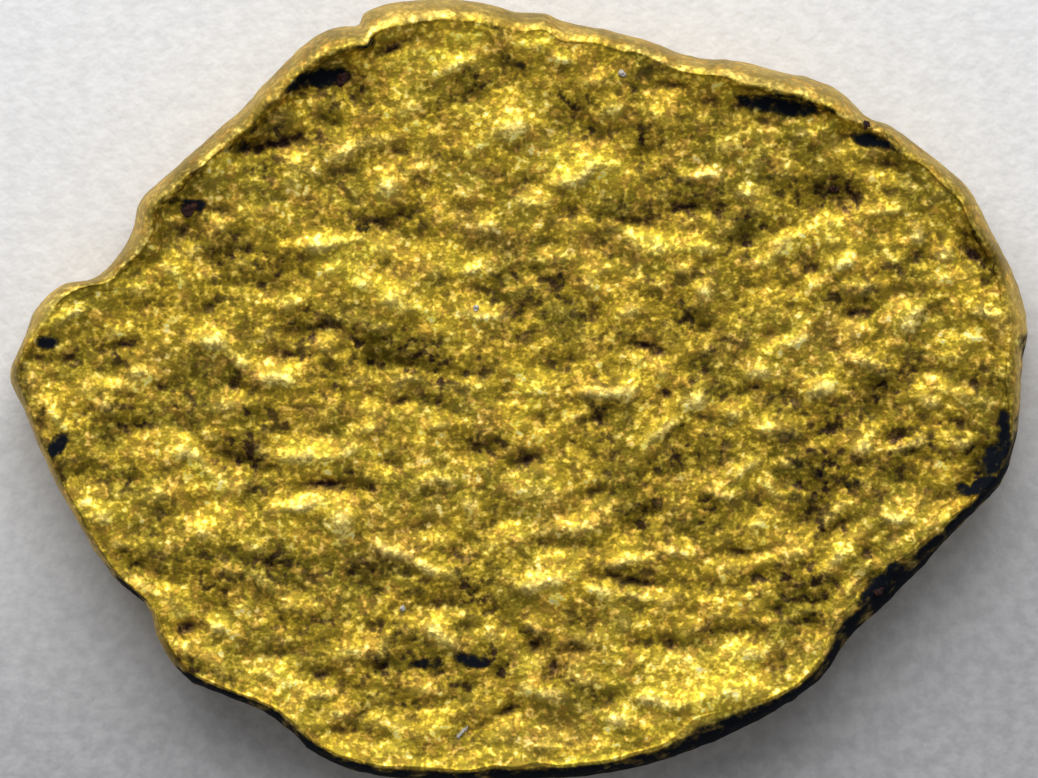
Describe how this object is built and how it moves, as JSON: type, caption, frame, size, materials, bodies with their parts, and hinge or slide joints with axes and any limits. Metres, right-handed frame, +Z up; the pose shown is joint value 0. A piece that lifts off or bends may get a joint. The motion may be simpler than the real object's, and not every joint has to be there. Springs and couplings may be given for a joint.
{
  "type": "gold nugget",
  "caption": "Flattened native gold nugget: a rough dished plate with a rolled rim and a worn flat underside, with small grains of quartz and ironstone lodged in the metal.",
  "frame": {"origin": "middle of the bounding box, on the plane of the worn flat underside", "axes": "+Z up out of the dished face, +X along the longest extent, towards the blunt right-hand end in the picture"},
  "size_m": [0.0136, 0.0104, 0.0018],
  "materials": {
    "native_gold": "rough natural gold, rubbed bright on the high places",
    "quartz": "milky, slightly glossy",
    "ironstone": "dull purple-brown"
  },
  "bodies": {
    "root": {"gold_body": "native_gold", "quartz_sliver": "quartz", "quartz_middle": "quartz", "quartz_low": "quartz", "quartz_top": "quartz", "ironstone_top": "ironstone", "ironstone_edge": "ironstone", "ironstone_left": "ironstone", "ironstone_right": "ironstone", "ironstone_low": "ironstone"}
  },
  "joints": []
}
